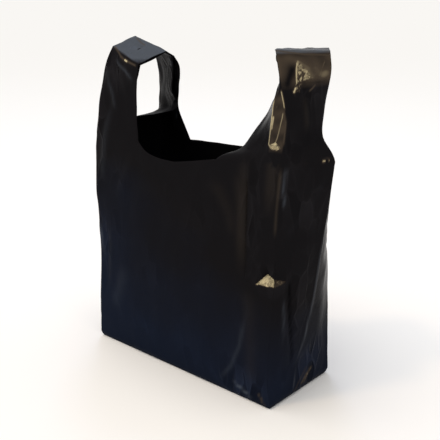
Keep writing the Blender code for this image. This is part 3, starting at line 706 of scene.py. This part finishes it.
def pressCreases(mesh):
    count = len(mesh.vertices)
    flatPlaces = np.empty(count * 3)
    flatNormals = np.empty(count * 3)
    mesh.vertices.foreach_get("co", flatPlaces)
    mesh.vertices.foreach_get("normal", flatNormals)
    places = flatPlaces.reshape(-1, 3) * 1000
    normals = flatNormals.reshape(-1, 3)
    marks = np.empty(count)
    mesh.attributes["ply"].data.foreach_get("value", marks)
    marks = np.round(marks)
    fromFold = np.empty(count)
    mesh.attributes["fromFold"].data.foreach_get("value", fromFold)
    fromFold = fromFold * 1000
    lift, crumpled = looseFolds(places, marks)
    stretchAndGlint = np.zeros(count)
    paintedLapShade = np.zeros(count)
    paintedSheen = np.zeros(count)
    # bands of painted brown and glint, partly stretched film, and of painted bluish sheen
    for band in bandForm:
        low, high = band["height"]
        share = np.clip(np.minimum(places[:, 2] - low, high - places[:, 2]) / band["fade"] + 0.5, 0, 1)
        near, far = band["flat"]
        share = share * np.clip(np.minimum(fromFold - near, far - fromFold) / band["soft"] + 0.5, 0, 1)
        share = share * (places[:, 0] * band["side"] > 0)
        share = share * np.isin(marks, band["on"])
        if "upwards" in band:
            rise = np.abs(normals[:, 2]) - band["upwards"]
            share = share * np.clip(rise / pressForm["upwardsSoft"], 0, 1)
        if "uneven" in band:
            cloud = [noise.noise(Vector(place / band["uneven"])) for place in places]
            share = share * np.clip(1 + pressForm["cloudShare"] * np.array(cloud), 0, 2)
        stretchAndGlint = np.maximum(stretchAndGlint, band.get("stretchAndGlint", 0) * share)
        paintedSheen = np.maximum(paintedSheen, band.get("sheen", 0) * share)
    for crease in creaseForm:
        line = np.array(crease["line"], float)
        distance, run, away, length = nearestOnLine(places, line)
        ends = np.clip(np.minimum(run, length - run) / crease["fade"], 0, 1)
        ends = ends * ends * (3 - 2 * ends) * np.isin(marks, crease["on"])
        width = crease["width"]
        shape = crease.get("shape", "ridge")
        if shape == "ridge":
            form = np.exp(-distance / width)
        elif shape == "soft":
            form = np.exp(-(distance / width) ** 2)
        else:
            ahead = away @ np.array(crease["towards"], float)
            slope = np.clip(1 - distance / width, 0, 1)
            form = np.where(ahead > 0, -np.exp(-(distance / pressForm["lapStep"]) ** 2), -slope)
        lift += crease["lift"] * form * ends
        # painted glint, brown and sheen along the crease
        streak = np.exp(-(distance / crease.get("streakWidth", width)) ** 2) * ends
        stretchAndGlint = np.maximum(stretchAndGlint, crease.get("stretchAndGlint", 0) * streak)
        paintedSheen = np.maximum(paintedSheen, crease.get("sheen", 0) * streak)
        if crease["lift"] < 0:
            stretchAndGlint = stretchAndGlint * (1 - np.abs(form) * ends)
        # painted shade along a lap
        if "lapShade" in crease:
            shadow = np.exp(-(distance / crease["lapShadeWidth"]) ** 2) * ends
            paintedLapShade = np.maximum(paintedLapShade, crease["lapShade"] * shadow)
    for patch in patchForm:
        share = np.clip(insidePatch(places, patch["corners"]) / patch["edge"], 0, 1)
        share = share * np.isin(marks, patch["on"])
        peaks, shades = facetNoise(places, share > 0, patch["facet"])
        lift -= patch["lift"] * patch["facet"] * peaks * share
        # painted brown sheen and glints on the facets
        low, high = patch["stretchAndGlint"]
        stretchAndGlint = stretchAndGlint * (1 - share) + np.maximum(stretchAndGlint, low + (high - low) * shades) * share
    # the buckle
    beside = np.where(marks == 1, -fromFold, fromFold)
    upper = np.interp(beside, *np.array(buckleForm["upper"]).T)
    lower = np.interp(beside, *np.array(buckleForm["lower"]).T)
    height = places[:, 2]
    tall = np.maximum(upper - lower, 1e-6)
    reach = np.where(height <= upper, np.clip((height - lower) / tall, 0, 1),
                     np.clip(1 - (height - upper) / buckleForm["relax"], 0, 1) ** 2)
    left, right = buckleForm["upper"][0][0], buckleForm["upper"][-1][0]
    near = np.isin(marks, (1, 3)) & (beside > left) & (beside < right)
    near = near & (places[:, 0] > 0) & (places[:, 1] < 0)
    depth = buckleForm["depth"] * tall / buckleForm["tallest"] * reach * near
    shelf = near & (height > lower) & (height < upper)
    peaks, shades = facetNoise(places, shelf, buckleForm["facet"])
    lift -= buckleForm["lift"] * buckleForm["facet"] * peaks * shelf
    # painted glints on the shelf's facets
    for mark, (low, high) in ((1, buckleForm["frontGlint"]), (3, buckleForm["sideGlint"])):
        here = shelf & (marks == mark)
        stretchAndGlint = np.where(here, low + (high - low) * shades, stretchAndGlint)
    places += normals * lift[:, None] + np.array(buckleForm["way"]) * depth[:, None]
    mesh.vertices.foreach_set("co", (places / 1000).ravel())
    for name, values in (("stretchAndGlint", stretchAndGlint), ("paintedSheen", paintedSheen), ("paintedLapShade", paintedLapShade), ("crumpled", crumpled)):
        mesh.attributes.new(name, "FLOAT", "POINT").data.foreach_set("value", values.astype(np.float32))
    mesh.update()


bagMesh = bpy.data.meshes.new("carrierBagFilm")
film.to_mesh(bagMesh)
film.free()
pressCreases(bagMesh)
bag = bpy.data.objects.new("carrierBagFilm", bagMesh)
bpy.context.scene.collection.objects.link(bag)
print("film laid out:", len(bagMesh.polygons), "faces")


# Low density polyethylene blown as a thin black film, smooth and slightly waxy; painted glints and sheen along
# its creases, and a brown where it was stretched that is partly stretched film and partly a painted warm sheen
filmFinish = {
    # colours: the black film, a painted cool reflection, a brown partly stretched film and partly painted warm
    # sheen, a painted glint and a painted bluish sheen
    "black": "#171618", "blueBlack": "#161c2a", "brownStretchAndSheen": "#4b4238", "glint": "#d9cba3",
    "paintedSheen": "#626a75", "specular": 0.005, "ior": 1.51, "smooth": 0.14, "dull": 0.28,
    # blue clouds of painted cool reflection: from which height down, how much sooner at the left, their size
    # and least and most
    "blueBelow": 0.20, "blueLeft": 0.45, "cloudSize": 0.110, "blueLeast": -0.45, "blueMost": 0.60,
    # wrinkles: size, form, how bent, crest's width and painted sheen, facets' painted light and shade, patches,
    # and relief
    "wrinkleSize": 0.013, "wrinkleUpward": 0.40, "bending": 0.7, "wrinkleLine": 0.16, "paler": 0.30,
    "toneLeast": -0.40, "toneMost": 0.75, "patchSize": 0.060, "patchFrom": 0.45, "patchTo": 0.75,
    "patchMost": 0.25, "rippleSize": 0.012, "rippleShare": 0.3, "wrinkleDepth": 0.0010, "relief": 0.7,
    # how dark the painted shade along a lap is, how far it is painted when fully brown, and from where on it
    # pales to a painted glint
    "lapShadeDarker": -0.8, "brownAt": 0.45, "paleFrom": 0.40,
}


def filmMaterial():
    material = bpy.data.materials.new("blackLdpeFilm")
    material.use_nodes = True
    tree = material.node_tree
    shader = tree.nodes["Principled BSDF"]
    shader.inputs["Specular IOR Level"].default_value = filmFinish["specular"]
    shader.inputs["IOR"].default_value = filmFinish["ior"]
    spot = addNode(tree, "ShaderNodeTexCoord").outputs["Object"]
    stretchAndGlint = addNode(tree, "ShaderNodeAttribute", {"attribute_name": "stretchAndGlint"}).outputs["Fac"]
    # bluer towards the base and the left, in soft clouds: a painted cool reflection
    axes = addNode(tree, "ShaderNodeSeparateXYZ", None, {"Vector": spot})
    place = addNode(tree, "ShaderNodeMath", {"operation": "MULTIPLY_ADD", 1: filmFinish["blueLeft"]},
                    {0: axes.outputs["X"], 2: axes.outputs["Z"]})
    lower = addNode(tree, "ShaderNodeMapRange",
                    {"From Min": filmFinish["blueBelow"], "From Max": 0.0, "clamp": False,
                     "To Min": filmFinish["blueLeast"], "To Max": filmFinish["blueMost"]},
                    {"Value": place.outputs[0]})
    cloud = addNode(tree, "ShaderNodeTexNoise", {"Scale": 1 / filmFinish["cloudSize"], "Detail": 2.0},
                    {"Vector": spot})
    blue = addNode(tree, "ShaderNodeMath", {"operation": "ADD", "use_clamp": True},
                   {0: lower.outputs["Result"], 1: cloud.outputs["Fac"]})
    body = addNode(tree, "ShaderNodeMix", {"data_type": "RGBA"}, {"Factor": blue.outputs[0]})
    body.inputs["A"].default_value = linear(filmFinish["black"])
    body.inputs["B"].default_value = linear(filmFinish["blueBlack"])
    # fine wrinkles, longer upwards than across: a painted sheen along their crests and painted light and shade
    # on their facets, which show in patches, and all over where the film is crumpled
    crumpled = addNode(tree, "ShaderNodeAttribute", {"attribute_name": "crumpled"}).outputs["Fac"]
    drawn = addNode(tree, "ShaderNodeVectorMath", {"operation": "MULTIPLY"}, {0: spot})
    drawn.inputs[1].default_value = (1, 1, filmFinish["wrinkleUpward"])
    bent = addNode(tree, "ShaderNodeTexNoise",
                   {"Scale": filmFinish["bending"] / filmFinish["wrinkleSize"], "Detail": 1.0},
                   {"Vector": drawn.outputs["Vector"]})
    bending = addNode(tree, "ShaderNodeVectorMath", {"operation": "SCALE", "Scale": filmFinish["wrinkleSize"]},
                      {0: bent.outputs["Color"]})
    drifted = addNode(tree, "ShaderNodeVectorMath", {"operation": "ADD"},
                      {0: drawn.outputs["Vector"], 1: bending.outputs["Vector"]})
    edges = addNode(tree, "ShaderNodeTexVoronoi",
                    {"feature": "DISTANCE_TO_EDGE", "Scale": 1 / filmFinish["wrinkleSize"]},
                    {"Vector": drifted.outputs["Vector"]})
    facets = addNode(tree, "ShaderNodeTexVoronoi", {"Scale": 1 / filmFinish["wrinkleSize"]},
                     {"Vector": drifted.outputs["Vector"]})
    facet = addNode(tree, "ShaderNodeSeparateColor", None, {"Color": facets.outputs["Color"]})
    crest = addNode(tree, "ShaderNodeMapRange",
                    {"interpolation_type": "SMOOTHSTEP", "From Max": filmFinish["wrinkleLine"],
                     "To Min": 1.0, "To Max": 0.0}, {"Value": edges.outputs["Distance"]})
    patch = addNode(tree, "ShaderNodeTexNoise", {"Scale": 1 / filmFinish["patchSize"], "Detail": 1.0},
                    {"Vector": spot})
    patchy = addNode(tree, "ShaderNodeMapRange",
                     {"From Min": filmFinish["patchFrom"], "From Max": filmFinish["patchTo"],
                      "To Max": filmFinish["patchMost"]}, {"Value": patch.outputs["Fac"]})
    shown = addNode(tree, "ShaderNodeMath", {"operation": "ADD", "use_clamp": True},
                    {0: patchy.outputs["Result"], 1: crumpled})
    crests = addNode(tree, "ShaderNodeMath", {"operation": "MULTIPLY"},
                     {0: crest.outputs["Result"], 1: shown.outputs[0]})
    tone = addNode(tree, "ShaderNodeMapRange",
                   {"To Min": filmFinish["toneLeast"], "To Max": filmFinish["toneMost"]},
                   {"Value": facet.outputs["Red"]})
    toned = addNode(tree, "ShaderNodeMath", {"operation": "MULTIPLY_ADD", 2: 1.0},
                    {0: tone.outputs["Result"], 1: shown.outputs[0]})
    paled = addNode(tree, "ShaderNodeMath", {"operation": "MULTIPLY_ADD", 1: filmFinish["paler"]},
                    {0: crests.outputs[0], 2: toned.outputs[0]})
    # painted shade where the film laps under itself
    paintedLapShade = addNode(tree, "ShaderNodeAttribute", {"attribute_name": "paintedLapShade"}).outputs["Fac"]
    inLight = addNode(tree, "ShaderNodeMath",
                      {"operation": "MULTIPLY_ADD", 1: filmFinish["lapShadeDarker"], 2: 1.0}, {0: paintedLapShade})
    paler = addNode(tree, "ShaderNodeMath", {"operation": "MULTIPLY"},
                    {0: paled.outputs[0], 1: inLight.outputs[0]})
    wrinkled = addNode(tree, "ShaderNodeVectorMath", {"operation": "SCALE"},
                       {0: body.outputs["Result"], "Scale": paler.outputs[0]})
    # painted bluish sheen; a brown that is partly stretched film and partly a painted warm sheen, paling to a
    # painted glint, nearly white, where it is highest
    sheen = addNode(tree, "ShaderNodeAttribute", {"attribute_name": "paintedSheen"}).outputs["Fac"]
    sheened = addNode(tree, "ShaderNodeMix", {"data_type": "RGBA"}, {"Factor": sheen})
    tree.links.new(wrinkled.outputs["Vector"], sheened.inputs["A"])
    sheened.inputs["B"].default_value = linear(filmFinish["paintedSheen"])
    brown = addNode(tree, "ShaderNodeMapRange", {"From Max": filmFinish["brownAt"]}, {"Value": stretchAndGlint})
    pale = addNode(tree, "ShaderNodeMapRange", {"From Min": filmFinish["paleFrom"], "From Max": 1.0},
                   {"Value": stretchAndGlint})
    browned = addNode(tree, "ShaderNodeMix", {"data_type": "RGBA"}, {"Factor": brown.outputs["Result"]})
    tree.links.new(sheened.outputs["Result"], browned.inputs["A"])
    browned.inputs["B"].default_value = linear(filmFinish["brownStretchAndSheen"])
    whitened = addNode(tree, "ShaderNodeMix", {"data_type": "RGBA"}, {"Factor": pale.outputs["Result"]})
    tree.links.new(browned.outputs["Result"], whitened.inputs["A"])
    whitened.inputs["B"].default_value = linear(filmFinish["glint"])
    tree.links.new(whitened.outputs["Result"], shader.inputs["Base Color"])
    # slight ripples all over
    ripple = addNode(tree, "ShaderNodeTexNoise", {"Scale": 1 / filmFinish["rippleSize"], "Detail": 3.0},
                     {"Vector": spot})
    raised = addNode(tree, "ShaderNodeMath", {"operation": "MULTIPLY_ADD", 1: filmFinish["rippleShare"]},
                     {0: ripple.outputs["Fac"], 2: crests.outputs[0]})
    rippled = addNode(tree, "ShaderNodeBump",
                      {"Strength": filmFinish["relief"], "Distance": filmFinish["wrinkleDepth"]},
                      {"Height": raised.outputs[0]})
    tree.links.new(rippled.outputs["Normal"], shader.inputs["Normal"])
    rough = addNode(tree, "ShaderNodeMapRange",
                    {"To Min": filmFinish["smooth"], "To Max": filmFinish["dull"]},
                    {"Value": ripple.outputs["Fac"]})
    tree.links.new(rough.outputs["Result"], shader.inputs["Roughness"])
    return material


bagMesh.materials.append(filmMaterial())

thickness = bag.modifiers.new("thickness", "SOLIDIFY")
thickness.thickness = bagForm["film"]
thickness.offset = 0.0

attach(bag, "root")
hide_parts("carrier_bag")

# A plain pale table top that runs far back, and soft studio light
setForm = {"floorSize": 30.0, "floorColour": "#fbfbfb", "floorRoughness": 0.9, "worldStrength": 0.52}
floorShape = bmesh.new()
bmesh.ops.create_grid(floorShape, x_segments=1, y_segments=1, size=setForm["floorSize"])
floorMesh = bpy.data.meshes.new("floor")
floorShape.to_mesh(floorMesh)
floorShape.free()
floor = bpy.data.objects.new("floor", floorMesh)
bpy.context.scene.collection.objects.link(floor)
paper = bpy.data.materials.new("whitePaper")
paper.use_nodes = True
paperShader = paper.node_tree.nodes["Principled BSDF"]
paperShader.inputs["Base Color"].default_value = linear(setForm["floorColour"])
paperShader.inputs["Roughness"].default_value = setForm["floorRoughness"]
paperShader.inputs["Specular IOR Level"].default_value = 0.0
floorMesh.materials.append(paper)

world = bpy.data.worlds.new("studio")
bpy.context.scene.world = world
world.use_nodes = True
world.node_tree.nodes["Background"].inputs["Color"].default_value = (1, 1, 1, 1)
world.node_tree.nodes["Background"].inputs["Strength"].default_value = setForm["worldStrength"]


# Places and sizes in metres, a sun's spread in degrees
lampForm = [
    {"name": "overhead", "kind": "SUN", "place": (-0.25, -0.45, 2.0), "aim": (0, 0, 0),
     "colour": "#fffaf2", "strength": 1.50, "spread": 60.0},
    {"name": "coolTop", "kind": "AREA", "place": (-0.75, 0.80, 2.1), "aim": (0, 0, 0.3),
     "colour": "#c8d9ff", "strength": 6, "size": (0.4, 0.4)},
    {"name": "warmTop", "kind": "AREA", "place": (-0.15, -0.70, 1.8), "aim": (0, 0, 0.2),
     "colour": "#ffdcae", "strength": 4, "size": (0.18, 0.18)},
    {"name": "warmSide", "kind": "AREA", "place": (1.7, -0.35, 0.55), "aim": (0, 0, 0.25),
     "colour": "#ffdcb4", "strength": 1.5, "size": (0.15, 0.4)},
]
for lampSettings in lampForm:
    lampData = bpy.data.lights.new(lampSettings["name"], lampSettings["kind"])
    lampData.color = linear(lampSettings["colour"])[:3]
    lampData.energy = lampSettings["strength"]
    if lampSettings["kind"] == "SUN":
        lampData.angle = radians(lampSettings["spread"])
    else:
        lampData.shape = "RECTANGLE"
        lampData.size, lampData.size_y = lampSettings["size"]
    lamp = bpy.data.objects.new(lampSettings["name"], lampData)
    lamp.location = lampSettings["place"]
    way = Vector(lampSettings["aim"]) - Vector(lampSettings["place"])
    lamp.rotation_euler = way.to_track_quat("-Z", "Y").to_euler()
    bpy.context.scene.collection.objects.link(lamp)
print("set lit")
